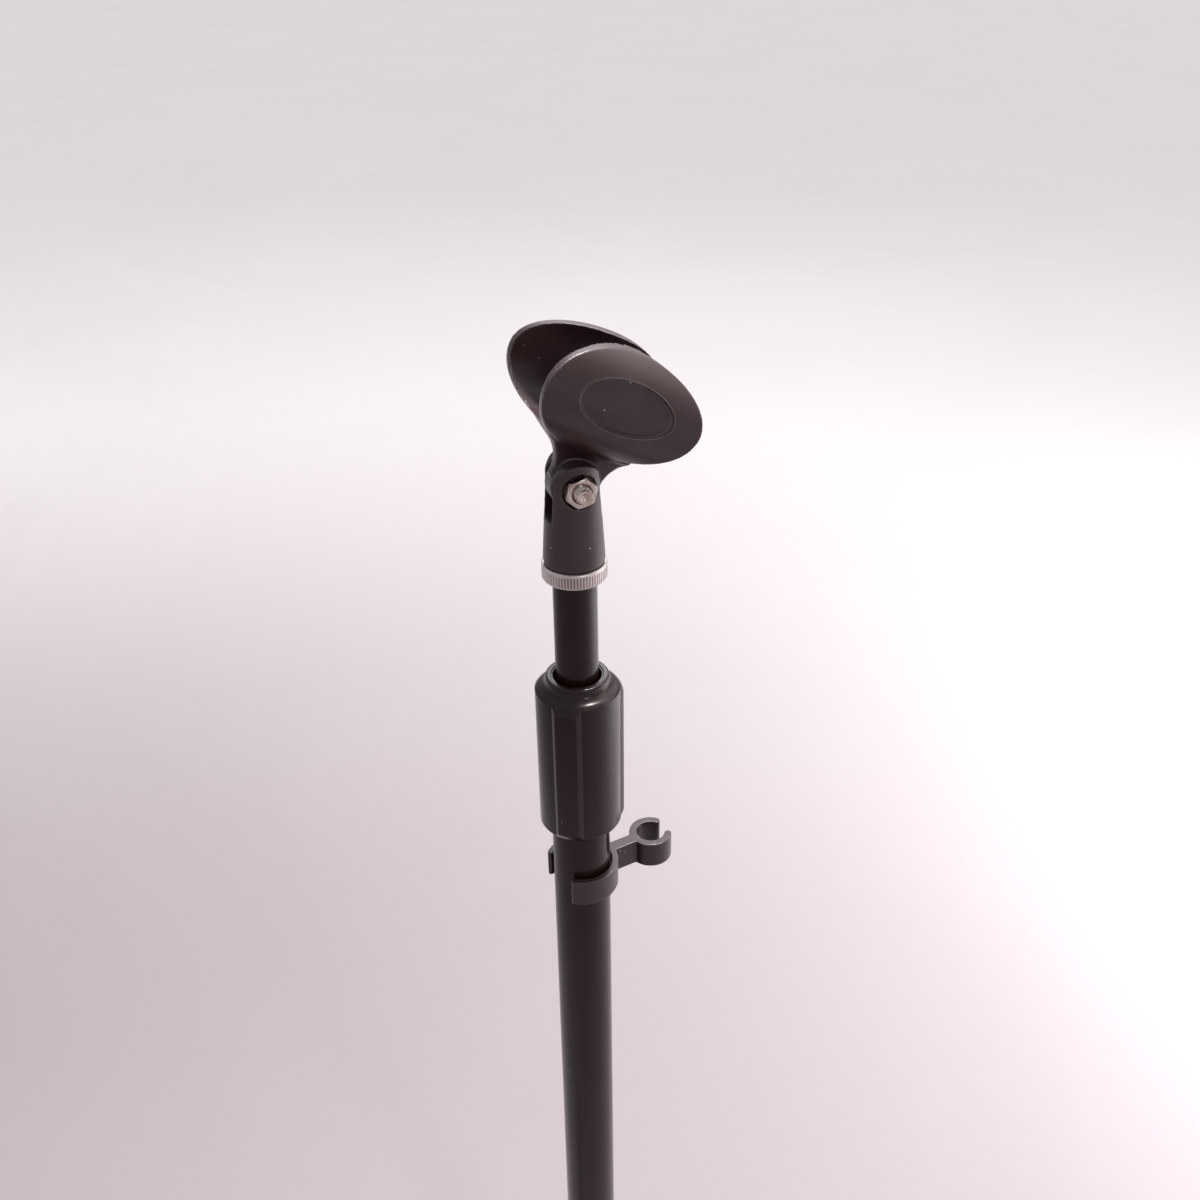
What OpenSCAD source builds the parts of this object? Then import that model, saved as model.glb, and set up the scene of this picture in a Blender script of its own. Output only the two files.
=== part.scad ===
/* [Base] */
// Diameter of the cast base disc
base_d = 236; // [190:2:300]
// Thickness of the base disc at its edge
base_rim_h = 9; // [7:0.5:14]
// Radius that rounds the upper edge of the disc
base_rim_round = 3; // [1:0.5:5]
// Diameter of the boss that holds the lower tube
base_boss_d = 44; // [40:1:60]
// Height of the boss top above the underside of the disc
base_boss_h = 27; // [25:1:40]
// How far the lower tube stands in the boss
socket_depth = 12; // [8:1:14]
// Thickness of the rubber ring under the disc
ring_t = 3; // [2:0.5:5]
// Width of the rubber ring's flat underside
ring_w = 12; // [8:1:20]
// Thickness of the rubber lip round the disc's edge
ring_lip_t = 2; // [1.5:0.5:3]
// Height of the rubber lip round the disc's edge
ring_lip_h = 5; // [3:0.5:6]

/* [Base bolt] */
// Thread diameter of the bolt that holds the tube to the base
base_bolt_d = 10; // [8:1:12]
// Size across the flats of the base bolt's head
base_bolt_af = 17; // [15:1:19]
// Height of the base bolt's head
base_bolt_head_h = 5.5; // [5:0.5:6.5]
// Thickness of the flat washer
washer_t = 2; // [1:0.5:2.5]
// Thickness of the spring washer
spring_washer_t = 2; // [1:0.5:2.5]
// Metal left between the bolt recess and the tube socket
base_web_t = 5; // [4:0.5:8]

/* [Lower tube] */
// Outer diameter of the lower tube
lower_d = 22.8; // [20:0.2:26]
// Wall of the lower tube
lower_wall = 1.5; // [1:0.1:2]
// Length of the lower tube
lower_len = 476; // [400:1:560]
// Length of the steel plug in the foot of the lower tube
plug_len = 22; // [16:1:30]
// Height of the cover ring on the boss
collar_h = 14; // [8:1:24]

/* [Upper tube] */
// Outer diameter of the upper tube
upper_d = 16; // [15:0.2:17]
// Wall of the upper tube
upper_wall = 1.2; // [1:0.1:2]
// How much longer the upper tube is than the lower tube
upper_more = 14; // [-40:1:24]
// Length of upper tube that shows above the clutch
upper_shown = 41.6; // [20:0.1:80]
// Length of the guide bush on the foot of the upper tube
guide_len = 24; // [14:1:34]
// Length of the stud that is pressed into the upper tube
stud_spigot = 20; // [12:1:30]
// Length of thread above the upper tube
stud_len = 13; // [10:1:14]

/* [Clutch] */
// Overall height of the twist grip
grip_h = 67.5; // [60:0.5:80]
// Radius of the grip between its raised lands
grip_r = 15.95; // [15.5:0.05:18]
// Radius of the raised lands
land_r = 17.1; // [16.2:0.1:19]
// Number of raised lands
land_count = 3; // [2:1:5]
// Angle of a land's outer face
land_angle = 28; // [20:1:40]
// Angle of the bevel at each side of a land
land_bevel = 6.5; // [3:0.5:9]
// Direction of the first land
land_dir = -124.8; // [-180:0.1:180]
// Height of the rounded shoulder above the lands
shoulder_h = 6.5; // [4:0.5:8]
// Outer radius of the neck
neck_r = 11.9; // [11:0.1:13]
// Height of the neck
neck_h = 2.8; // [2:0.1:5]
// Wall of the threaded core round the lower tube
core_wall = 1.8; // [1.2:0.1:2]
// Height of the core below the lower tube's end
core_h = 20; // [14:1:26]
// Height of the stop lip over the lower tube's end
lip_h = 3; // [2:0.5:4]
// Height of the split collet above the lip
collet_h = 27; // [20:1:30]
// Width of the slits in the collet
collet_slit = 1.2; // [0.8:0.1:2]
// Wall of the bush in the neck
neck_bush_wall = 0.8; // [0.6:0.1:1.2]
// Space between the neck bush and the upper tube
neck_gap = 1; // [0.4:0.1:1.5]

/* [Cable clip] */
// Height of the cable clip
cable_h = 11.5; // [8:0.5:16]
// Distance from the clutch down to the cable clip
cable_drop = 22.7; // [6:0.1:60]
// Wall of the cable clip's ring
cable_ring_wall = 2.5; // [2:0.1:3.5]
// Space between the cable clip's ring and the lower tube
cable_gap = 0.8; // [0.4:0.1:1.2]
// Opening angle of the ring
cable_ring_open = 85; // [60:1:120]
// Direction of the cable clip's arm
cable_dir = 10; // [-180:1:180]
// Distance from the stand's axis to the cable hook's centre
cable_reach = 32.6; // [30:0.1:40]
// Inner radius of the cable hook
hook_r = 5.8; // [4.5:0.1:6.5]
// Wall of the cable hook
hook_wall = 3; // [2:0.1:3.5]
// Opening angle of the cable hook
hook_open = 53; // [40:1:80]
// Thickness of the arm
arm_t = 5; // [3:0.5:6]

/* [Swivel] */
// Outer radius of the knurled flange
knurl_r = 11.6; // [11:0.1:13]
// Height of the knurled flange
knurl_h = 5.9; // [4:0.1:8]
// Number of knurl grooves
knurl_n = 34; // [24:1:48]
// Depth of the knurl grooves
knurl_depth = 0.45; // [0.2:0.05:0.6]
// Outer radius of the threaded insert's hub inside the sleeve
hub_r = 9.2; // [8.8:0.1:9.6]
// Height of the hub above the flange
hub_h = 12; // [8:0.5:13]
// Radius of the sleeve at its foot
sleeve_r_low = 11; // [10.6:0.1:12]
// Radius of the sleeve at the pivot
sleeve_r_top = 9.3; // [8.8:0.1:10.5]
// Height of the pivot above the knurled flange
pivot_h = 30; // [28:0.5:36]
// Width of the fork slot
slot_w = 8; // [6:0.1:9]
// Depth of the fork slot below the pivot
slot_below = 12.5; // [11:0.1:14]

/* [Pivot bolt] */
// Thread diameter of the pivot bolt
pivot_d = 6; // [5:0.5:6]
// Size across the flats of the pivot nut
nut_af = 10; // [8:0.5:10]
// Thickness of the pivot nut
nut_t = 4; // [3.5:0.1:5.2]
// Distance from the stand's axis to the seat of the nut and of the head
seat_y = 6.6; // [6:0.1:7.5]
// Radius of the round recess for the nut and the head
seat_r = 6.2; // [5.8:0.1:6.6]
// Radius of the pivot bolt's head
head_r = 5.4; // [4.5:0.1:5.6]
// Height of the pivot bolt's head
head_h = 3.4; // [2.5:0.1:4.5]
// Length of thread that stands out of the nut
thread_out = 2.7; // [1:0.1:5]

/* [Microphone clip] */
// Tilt of the clip from upright
tilt = 27.5; // [-45:0.5:45]
// Inner radius of the trough
trough_r = 17.7; // [15:0.1:19]
// Wall of the trough
trough_wall = 3.1; // [2:0.1:4]
// Height of the trough's axis above the pivot
trough_axis = 33; // [31:0.1:38]
// Half length of the oval flaps
flap_a = 28.8; // [24:0.1:34]
// Height of the flaps above the trough's axis
flap_up = 17.1; // [14:0.1:17.4]
// Distance the flaps are set back from the pivot
flap_back = 3.9; // [0:0.1:6]
// Height of the trough's flat floor above the pivot
floor_b = 17.4; // [16.5:0.1:18]
// Half length of the oval finger recess
recess_a = 17.6; // [14:0.1:22]
// Half height of the oval finger recess
recess_b = 8.9; // [6:0.1:11]
// Depth of the finger recess
recess_t = 0.8; // [0.4:0.1:1]
// Thickness of the web under the trough
web_t = 3.8; // [3:0.1:5]
// Radius of the round tongue in the fork
tongue_r = 8.8; // [8:0.1:10.5]
// Half width of the web where it leaves the tongue
web_root = 9.4; // [8.5:0.1:10.5]
// Radius of the hollow curve at the web's back edge
back_curve = 12; // [9:0.5:14]
// Radius of the hollow curve at the web's front edge
front_curve = 11; // [9:0.5:13]
// Radius of the fillet between the web and the trough
web_fillet = 6; // [3:0.5:7]

/* [Fits] */
// Radial clearance of a running fit
run_fit = 0.05; // [0.02:0.01:0.1]
// Radial clearance of a seated or pressed piece
seat_fit = 0.02; // [0.01:0.01:0.05]
// Gap between faces of pieces that move past each other
face_gap = 0.3; // [0.3:0.05:0.5]

/* [Hidden] */
$fn = 96;
over = 1;   // how far a cutting shape runs past the face it cuts

base_r = base_d / 2;
boss_r = base_boss_d / 2;
disc_z = ring_t;
boss_z = disc_z + base_boss_h;
socket_z = boss_z - socket_depth;
recess_z = socket_z - base_web_t;
washer_r = base_bolt_af / 2 + 1.5;
bolt_recess_r = base_bolt_af / 2 / cos(30) + 5;
lower_r = lower_d / 2;
lower_in_r = lower_r - lower_wall;
lower_top_z = socket_z + lower_len;
core_r = lower_r + core_wall;
lip_r = lower_in_r - 0.9;
collet_z = lower_top_z + lip_h;
collet_foot_h = 3;
collet_r = core_r - 1.7;
upper_r = upper_d / 2;
upper_in_r = upper_r - upper_wall;
collet_top_r = upper_r + 1.7;
grip_z = lower_top_z - core_h - 4.7;
grip_top_z = grip_z + grip_h;
panel_top_z = grip_top_z - neck_h - shoulder_h;
bush_r = upper_r + neck_gap + neck_bush_wall;
cable_z = grip_z - cable_drop - cable_h;
cable_ring_r = lower_r + cable_gap;
knurl_z = grip_top_z + upper_shown;
upper_top_z = knurl_z - face_gap;
upper_len = lower_len + upper_more;
upper_z = upper_top_z - upper_len;
sleeve_z = knurl_z + knurl_h;
pivot_z = sleeve_z + pivot_h;
trough_out_r = trough_r + trough_wall;
flap_down = trough_out_r - 0.1;
tongue_t = slot_w - 2 * face_gap;

// Points along an arc, from angle a0 to angle a1
function arc(cx, cy, r, a0, a1, steps = 8) =
    [for (i = [0 : steps]) let (a = a0 + (a1 - a0) * i / steps) [cx + r * cos(a), cy + r * sin(a)]];

module turned(points) {
    rotate_extrude() polygon(points);
}

module pipe(r_out, r_in, z, h) {
    translate([0, 0, z]) difference() {
        cylinder(r = r_out, h = h);
        translate([0, 0, -over]) cylinder(r = r_in, h = h + 2 * over);
    }
}

// A wedge of the plane, wider than any ring here, that opens a ring by the given angle about direction 0
module opening_wedge(angle, reach, h) {
    linear_extrude(h) polygon([[0, 0], for (i = [-2 : 2]) reach * [cos(angle * i / 4), sin(angle * i / 4)]]);
}

// A solid drawn in the XZ plane and given a thickness about y = 0
module side_plate(points, t) {
    rotate([90, 0, 0]) translate([0, 0, -t / 2]) linear_extrude(t) polygon(points);
}

module base_plate() {
    dish = base_rim_h + 3;
    color([0.10, 0.09, 0.09]) difference() {
        translate([0, 0, disc_z]) turned(concat(
            [[0, 0], [base_r, 0]],
            arc(base_r - base_rim_round, base_rim_h - base_rim_round, base_rim_round, 0, 85),
            [[boss_r + 30, dish]],
            arc(boss_r + 9, dish + 9.4, 9, 268, 186),
            arc(boss_r - 2.5, base_boss_h - 2, 2, 0, 90, 4),
            [[0, base_boss_h]]));
        translate([0, 0, socket_z]) cylinder(r = lower_r + seat_fit, h = socket_depth + over);
        translate([0, 0, disc_z - over]) cylinder(r = bolt_recess_r, h = recess_z - disc_z + over);
        cylinder(r = base_bolt_d / 2 + 0.5, h = boss_z);
    }
}

module base_ring() {
    color([0.06, 0.06, 0.06]) turned(concat(
        [[base_r - ring_w, 0]],
        arc(base_r + ring_lip_t - 1.5, 1.5, 1.5, -90, 0, 4),
        arc(base_r + ring_lip_t - 1, ring_t + ring_lip_h - 1, 1, 0, 90, 4),
        [[base_r, ring_t + ring_lip_h], [base_r, ring_t], [base_r - ring_w, ring_t]]));
}

module hex_prism(af, h) {
    cylinder(r = af / 2 / cos(30), h = h, $fn = 6);
}

module base_bolt() {
    head_z = recess_z - washer_t - spring_washer_t - base_bolt_head_h;
    top_z = socket_z + plug_len - 2;
    color([0.75, 0.75, 0.76]) {
        translate([0, 0, head_z]) intersection() {
            hex_prism(base_bolt_af, base_bolt_head_h);
            cylinder(r1 = base_bolt_af / 2, r2 = base_bolt_af / 2 + 3 * base_bolt_head_h, h = base_bolt_head_h);
        }
        translate([0, 0, head_z + base_bolt_head_h - over])
            cylinder(r = base_bolt_d / 2, h = top_z - head_z - base_bolt_head_h + over);
    }
}

module base_washer() {
    color([0.75, 0.75, 0.76]) pipe(washer_r, base_bolt_d / 2 + seat_fit, recess_z - washer_t, washer_t);
}

module base_spring_washer() {
    color([0.55, 0.55, 0.56]) difference() {
        pipe(base_bolt_d / 2 + 3, base_bolt_d / 2 + seat_fit, recess_z - washer_t - spring_washer_t, spring_washer_t);
        translate([0, -0.6, 0]) rotate([25, 0, 0]) cube([20, 1.2, 40]);
    }
}

module tube_plug() {
    color([0.6, 0.6, 0.6]) pipe(lower_in_r - seat_fit, base_bolt_d / 2 + seat_fit, socket_z, plug_len);
}

module base_collar() {
    r_in = lower_r + seat_fit;
    color([0.08, 0.08, 0.08]) turned(concat(
        [[r_in, boss_z]],
        [[boss_r - 3.5, boss_z], [boss_r - 3, boss_z + 1.5]],
        arc(boss_r + 2, boss_z + collar_h, boss_r + 2 - r_in - 1.58, 222, 184),
        [[r_in + 1, boss_z + collar_h], [r_in, boss_z + collar_h]]));
}

module lower_tube() {
    color([0.07, 0.07, 0.07]) pipe(lower_r, lower_in_r, socket_z, lower_len);
}

// Threaded core on the lower tube's end; its lip stops the guide bush
module clutch_core() {
    seat_r = collet_r + run_fit;
    color([0.85, 0.84, 0.8]) difference() {
        translate([0, 0, lower_top_z - core_h]) cylinder(r = core_r, h = core_h + lip_h + collet_foot_h);
        translate([0, 0, lower_top_z - core_h - over]) cylinder(r = lower_r + seat_fit, h = core_h + over);
        cylinder(r = lip_r, h = collet_z + over);
        translate([0, 0, collet_z]) cylinder(r = seat_r, h = collet_foot_h + over);
    }
}

module clutch_collet() {
    color([0.9, 0.9, 0.86]) difference() {
        translate([0, 0, collet_z]) union() {
            cylinder(r = collet_r, h = collet_foot_h);
            translate([0, 0, collet_foot_h])
                cylinder(r1 = collet_r, r2 = collet_top_r, h = collet_h - collet_foot_h);
        }
        translate([0, 0, collet_z - over]) cylinder(r = upper_r + run_fit, h = collet_h + 2 * over);
        for (a = [0, 90]) rotate([0, 0, a])
            translate([-2 * collet_r, -collet_slit / 2, collet_z + collet_foot_h + 2])
                cube([4 * collet_r, collet_slit, collet_h]);
    }
}

// Sectors of the plane, one for each land; they widen towards the middle to give the bevelled sides
module land_sectors() {
    slope = (land_r - grip_r) / land_bevel;
    foot = land_angle / 2 + land_bevel + 1 / slope;
    for (i = [0 : land_count - 1]) rotate([0, 0, land_dir + 360 * i / land_count]) translate([0, 0, grip_z])
        linear_extrude(grip_h) polygon([[0, 0], (grip_r - 1) * [cos(foot), -sin(foot)],
            land_r * [cos(land_angle / 2), -sin(land_angle / 2)], [2 * land_r, -land_r * 0.5],
            [2 * land_r, land_r * 0.5], land_r * [cos(land_angle / 2), sin(land_angle / 2)],
            (grip_r - 1) * [cos(foot), sin(foot)]]);
}

// Twist grip: a round body with raised lands under a rounded shoulder, and a neck
module clutch_grip() {
    thread_top_z = collet_z + collet_foot_h + face_gap;
    cone_h = collet_h - collet_foot_h;
    color([0.07, 0.06, 0.06]) difference() {
        intersection() {
            union() {
                translate([0, 0, grip_z]) cylinder(r = grip_r, h = grip_h);
                intersection() {
                    translate([0, 0, grip_z]) cylinder(r = land_r, h = grip_h);
                    land_sectors();
                }
            }
            turned(concat(
                [[0, grip_z], [land_r - 1.6, grip_z], [land_r + 0.1, grip_z + 3]],
                arc(land_r - 4.9, panel_top_z, 5, 0, 70, 7),
                [[neck_r + 0.5, panel_top_z + shoulder_h - 0.6], [neck_r, panel_top_z + shoulder_h]],
                arc(neck_r - 0.8, grip_top_z - 0.8, 0.8, 0, 90, 4),
                [[0, grip_top_z]]));
        }
        translate([0, 0, grip_z - over]) cylinder(r = lower_r + 0.5, h = lower_top_z - core_h - grip_z + over);
        translate([0, 0, lower_top_z - core_h - face_gap])
            cylinder(r = core_r + run_fit, h = thread_top_z - lower_top_z + core_h + face_gap);
        translate([0, 0, thread_top_z - over / 10])
            cylinder(r1 = collet_r + face_gap, r2 = collet_top_r + face_gap, h = cone_h);
        translate([0, 0, collet_z]) cylinder(r = collet_top_r + face_gap, h = collet_h + face_gap);
        translate([0, 0, collet_z + collet_h]) cylinder(r = bush_r + seat_fit, h = grip_h);
    }
}

module neck_bush() {
    bush_z = collet_z + collet_h + face_gap;
    color([0.12, 0.11, 0.11]) pipe(bush_r, bush_r - neck_bush_wall, bush_z, grip_top_z - 0.4 - bush_z);
}

// Sprung ring on the lower tube with an arm and an open cable hook
module cable_clip() {
    hook_out = hook_r + hook_wall;
    ring_out = cable_ring_r + cable_ring_wall;
    arm_from = cable_ring_r + cable_ring_wall / 2;
    color([0.16, 0.14, 0.15]) translate([0, 0, cable_z]) rotate([0, 0, cable_dir]) difference() {
        union() {
            cylinder(r = ring_out, h = cable_h);
            translate([arm_from, -arm_t / 2, 0]) cube([cable_reach - hook_r - arm_from - 1, arm_t, cable_h]);
            translate([cable_reach, 0, 0]) cylinder(r = hook_out, h = cable_h);
        }
        translate([0, 0, -over]) {
            cylinder(r = cable_ring_r, h = cable_h + 2 * over);
            translate([cable_reach, 0, 0]) cylinder(r = hook_r, h = cable_h + 2 * over);
            rotate([0, 0, 180]) opening_wedge(cable_ring_open, 2 * ring_out, cable_h + 2 * over);
            translate([cable_reach, 0, 0]) opening_wedge(hook_open, 2 * hook_out, cable_h + 2 * over);
        }
    }
}

module upper_tube() {
    color([0.07, 0.07, 0.07]) pipe(upper_r, upper_in_r, upper_z, upper_len);
}

// Nylon cup that centres the upper tube's foot in the lower tube
module tube_guide() {
    floor_t = 2;
    color([0.9, 0.9, 0.88]) translate([0, 0, upper_z - floor_t]) difference() {
        cylinder(r = lower_in_r - run_fit, h = guide_len);
        translate([0, 0, floor_t]) cylinder(r = upper_r + seat_fit, h = guide_len);
        translate([0, 0, -over]) cylinder(r = upper_in_r - 2, h = guide_len);
    }
}

module top_stud() {
    color([0.6, 0.6, 0.6]) {
        translate([0, 0, upper_top_z - stud_spigot]) cylinder(r = upper_in_r - seat_fit, h = stud_spigot);
        translate([0, 0, upper_top_z]) cylinder(r = upper_r - 0.1, h = stud_len - 1);
        translate([0, 0, upper_top_z + stud_len - 1]) cylinder(r1 = upper_r - 0.1, r2 = upper_r - 1.1, h = 1);
    }
}

// Knurled flange with a threaded hub that is moulded into the sleeve
module thread_insert() {
    groove_w = 0.9;
    color([0.78, 0.76, 0.75]) difference() {
        union() {
            translate([0, 0, knurl_z]) difference() {
                cylinder(r = knurl_r, h = knurl_h - 0.8);
                for (i = [0 : knurl_n - 1]) rotate([0, 0, 360 * i / knurl_n])
                    translate([knurl_r - knurl_depth, 0, -over]) rotate([0, 0, -45])
                        cube([groove_w, groove_w, knurl_h + 2 * over]);
            }
            translate([0, 0, sleeve_z - 0.8]) cylinder(r = knurl_r, h = 0.8);
            cylinder(r = hub_r, h = sleeve_z + hub_h);
        }
        translate([0, 0, -over]) cylinder(r = hub_r + over, h = knurl_z + over);
        cylinder(r = upper_r - 0.1 + run_fit, h = upper_top_z + stud_len + 1);
    }
}

// Fork that carries the clip: a round cone with a slot and a rounded top
module clip_sleeve() {
    foot = 1.5;
    color([0.15, 0.13, 0.14]) difference() {
        union() {
            translate([0, 0, sleeve_z]) cylinder(r1 = sleeve_r_low - 0.3, r2 = sleeve_r_low, h = foot);
            translate([0, 0, sleeve_z + foot]) cylinder(r1 = sleeve_r_low, r2 = sleeve_r_top, h = pivot_h - foot);
            intersection() {
                translate([0, 0, pivot_z - over]) cylinder(r = sleeve_r_top, h = 2 * sleeve_r_top);
                translate([0, 0, pivot_z]) rotate([90, 0, 0])
                    cylinder(r = sleeve_r_top, h = 4 * sleeve_r_low, center = true);
            }
        }
        translate([-2 * sleeve_r_low, -slot_w / 2, pivot_z - slot_below])
            cube([4 * sleeve_r_low, slot_w, 4 * slot_below]);
        cylinder(r = hub_r + seat_fit, h = sleeve_z + hub_h + seat_fit);
        translate([0, 0, pivot_z]) rotate([90, 0, 0]) {
            cylinder(r = pivot_d / 2 + run_fit, h = 4 * sleeve_r_low, center = true);
            translate([0, 0, seat_y]) cylinder(r = seat_r, h = sleeve_r_low);
            translate([0, 0, -seat_y - sleeve_r_low]) cylinder(r = seat_r, h = sleeve_r_low);
        }
    }
}

// Pivot bolt along Y; the thread end is on the -Y side
module pivot_bolt() {
    tip = 0.7;
    slot = 1.4;
    end_y = seat_y + nut_t + thread_out;
    color([0.8, 0.79, 0.78]) translate([0, 0, pivot_z]) rotate([90, 0, 0]) difference() {
        union() {
            translate([0, 0, -seat_y - over / 2]) cylinder(r = pivot_d / 2, h = seat_y + end_y - tip + over / 2);
            translate([0, 0, end_y - tip]) cylinder(r1 = pivot_d / 2, r2 = pivot_d / 2 - tip, h = tip);
            translate([0, 0, -seat_y - head_h / 2]) cylinder(r = head_r, h = head_h / 2);
            translate([0, 0, -seat_y - head_h]) cylinder(r1 = head_r - 1.4, r2 = head_r, h = head_h / 2);
        }
        translate([-2 * head_r, -slot / 2, -seat_y - head_h - over]) cube([4 * head_r, slot, over + 1.5]);
    }
}

module pivot_nut() {
    corner_r = nut_af / 2 / cos(30);
    chamfer = 0.9;
    color([0.82, 0.8, 0.78]) translate([0, 0, pivot_z]) rotate([90, 0, 0]) translate([0, 0, seat_y]) difference() {
        intersection() {
            rotate([0, 0, 15]) hex_prism(nut_af, nut_t);
            turned([[0, 0], [nut_af / 2 - 0.1, 0], [corner_r + 0.4, chamfer], [corner_r + 0.4, nut_t - chamfer],
                    [nut_af / 2 - 0.1, nut_t], [0, nut_t]]);
        }
        translate([0, 0, -over]) cylinder(r = pivot_d / 2 + seat_fit, h = nut_t + 2 * over);
    }
}

// Side view of one flap: a half oval above the trough's axis and a deeper one below it
function flap_outline(steps = 32) = concat(
    [for (i = [0 : steps - 1]) let (a = 180 * i / steps)
        [-flap_back + flap_a * cos(a), trough_axis + flap_up * sin(a)]],
    [for (i = [0 : steps - 1]) let (a = 180 + 180 * i / steps)
        [-flap_back + flap_a * cos(a), trough_axis + flap_down * sin(a)]]);

// Side view of the web: from the tongue out to the underside of the trough
function web_outline() =
    concat([[-tongue_r, 0]], arc(-web_root - back_curve, 2, back_curve, 0, 55),
           [[-flap_back - 18.5, floor_b - 0.1], [-flap_back + 18.5, floor_b - 0.1], [20.5, 13.6]],
           arc(web_root + front_curve, 2, front_curve, 108, 180), [[tongue_r, 0]]);

// End view of the fillets that join the web to the round underside of the trough
function fillet_profile() =
    let (y = web_t / 2 + web_fillet, b = trough_axis - sqrt(pow(trough_out_r + web_fillet, 2) - y * y),
         a = asin((trough_axis - b) / (trough_out_r + web_fillet)), right = arc(y, b, web_fillet, 180, 180 - a))
    concat(right, [[right[8][0], right[8][1] + 2], [-right[8][0], right[8][1] + 2]],
           [for (i = [8 : -1 : 0]) [-right[i][0], right[i][1]]]);

// Microphone clip: a split trough between two oval flaps, on a web with a round tongue
module clip_body() {
    recess_steps = 40;
    color([0.16, 0.14, 0.15]) translate([0, 0, pivot_z]) rotate([0, tilt, 0]) difference() {
        union() {
            intersection() {
                side_plate(flap_outline(), 3 * trough_out_r);
                difference() {
                    translate([0, 0, trough_axis]) rotate([0, 90, 0])
                        cylinder(r = trough_out_r, h = 4 * flap_a, center = true);
                    intersection() {
                        translate([0, 0, trough_axis]) rotate([0, 90, 0])
                            cylinder(r = trough_r, h = 4 * flap_a + 2 * over, center = true);
                        translate([-3 * flap_a, -trough_out_r, floor_b])
                            cube([6 * flap_a, 2 * trough_out_r, 4 * trough_r]);
                    }
                }
            }
            side_plate(web_outline(), web_t);
            intersection() {
                translate([-flap_back - 17, 0, 0]) rotate([90, 0, 90])
                    linear_extrude(34) polygon(fillet_profile());
                translate([0, 0, 1.5]) side_plate(web_outline(), 3 * web_fillet);
                translate([0, 0, trough_axis]) rotate([0, 90, 0])
                    difference() {
                        cylinder(r = 4 * trough_r, h = 4 * flap_a, center = true);
                        cylinder(r = trough_r + trough_wall / 2, h = 5 * flap_a, center = true);
                    }
            }
            rotate([90, 0, 0]) cylinder(r = tongue_r, h = tongue_t, center = true);
        }
        rotate([90, 0, 0]) cylinder(r = pivot_d / 2 + run_fit, h = 3 * tongue_t, center = true);
        difference() {
            side_plate([for (i = [0 : recess_steps - 1]) let (a = 360 * i / recess_steps)
                [-flap_back + 0.4 + recess_a * cos(a), trough_axis + 0.8 + recess_b * sin(a)]], 4 * trough_out_r);
            translate([0, 0, trough_axis]) rotate([0, 90, 0])
                cylinder(r = trough_out_r - recess_t, h = 4 * flap_a, center = true);
        }
    }
}

base_plate();
base_ring();
base_bolt();
base_washer();
base_spring_washer();
tube_plug();
base_collar();
lower_tube();
clutch_core();
clutch_collet();
cable_clip();
clutch_grip();
neck_bush();
upper_tube();
tube_guide();
top_stud();
thread_insert();
clip_sleeve();
pivot_bolt();
pivot_nut();
clip_body();
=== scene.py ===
"""Floor stand for a microphone, child size: cast base, two sliding tubes, a twist clutch, a cable clip
and a tilting clip with two oval flaps. Sizes in the sections are millimetres; objects are in metres."""
import math

import bpy
from mathutils import Matrix, Vector


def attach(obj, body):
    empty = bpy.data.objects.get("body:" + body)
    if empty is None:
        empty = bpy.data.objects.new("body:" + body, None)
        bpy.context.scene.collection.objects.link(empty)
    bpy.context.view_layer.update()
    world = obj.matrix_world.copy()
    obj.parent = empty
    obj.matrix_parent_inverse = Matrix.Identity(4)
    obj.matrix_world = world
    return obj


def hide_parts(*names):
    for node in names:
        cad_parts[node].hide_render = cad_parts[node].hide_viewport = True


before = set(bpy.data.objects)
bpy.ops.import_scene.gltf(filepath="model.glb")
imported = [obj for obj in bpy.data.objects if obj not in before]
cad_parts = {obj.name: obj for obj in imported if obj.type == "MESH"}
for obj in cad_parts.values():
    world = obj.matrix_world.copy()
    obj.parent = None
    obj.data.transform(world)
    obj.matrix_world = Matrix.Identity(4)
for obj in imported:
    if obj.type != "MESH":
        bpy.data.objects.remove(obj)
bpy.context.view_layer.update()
MM = 0.001

# ---------------------------------------------------------------- view and room
# The stand is looked at from the front left and from above, as a person standing before it sees its head.
# It stands on seamless studio paper under a soft sky. A tall window light is on the right, small ones are above
# and in front, a wide one is behind, and one brightens the paper on the right.
view_place = (-0.12030, -0.36609, 0.79549)
view_heading, view_drop, view_roll = 19.5, 30.574, -0.823
camera_data = bpy.data.cameras.new("view")
camera_data.lens = 37.713
camera_data.sensor_width = 36
camera_data.clip_end = 200
camera = bpy.data.objects.new("view", camera_data)
camera.matrix_world = (
    Matrix.Translation(view_place)
    @ Matrix.Rotation(math.radians(-view_heading), 4, "Z")
    @ Matrix.Rotation(math.radians(90 - view_drop), 4, "X")
    @ Matrix.Rotation(math.radians(view_roll), 4, "Z")
)
bpy.context.scene.collection.objects.link(camera)
bpy.context.scene.camera = camera
bpy.context.scene.view_settings.view_transform = "Standard"

world = bpy.data.worlds.new("studio")
world.use_nodes = True
world.node_tree.nodes["Background"].inputs["Color"].default_value = (0.88, 0.85, 0.865, 1)
world.node_tree.nodes["Background"].inputs["Strength"].default_value = 0.55
bpy.context.scene.world = world

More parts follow.
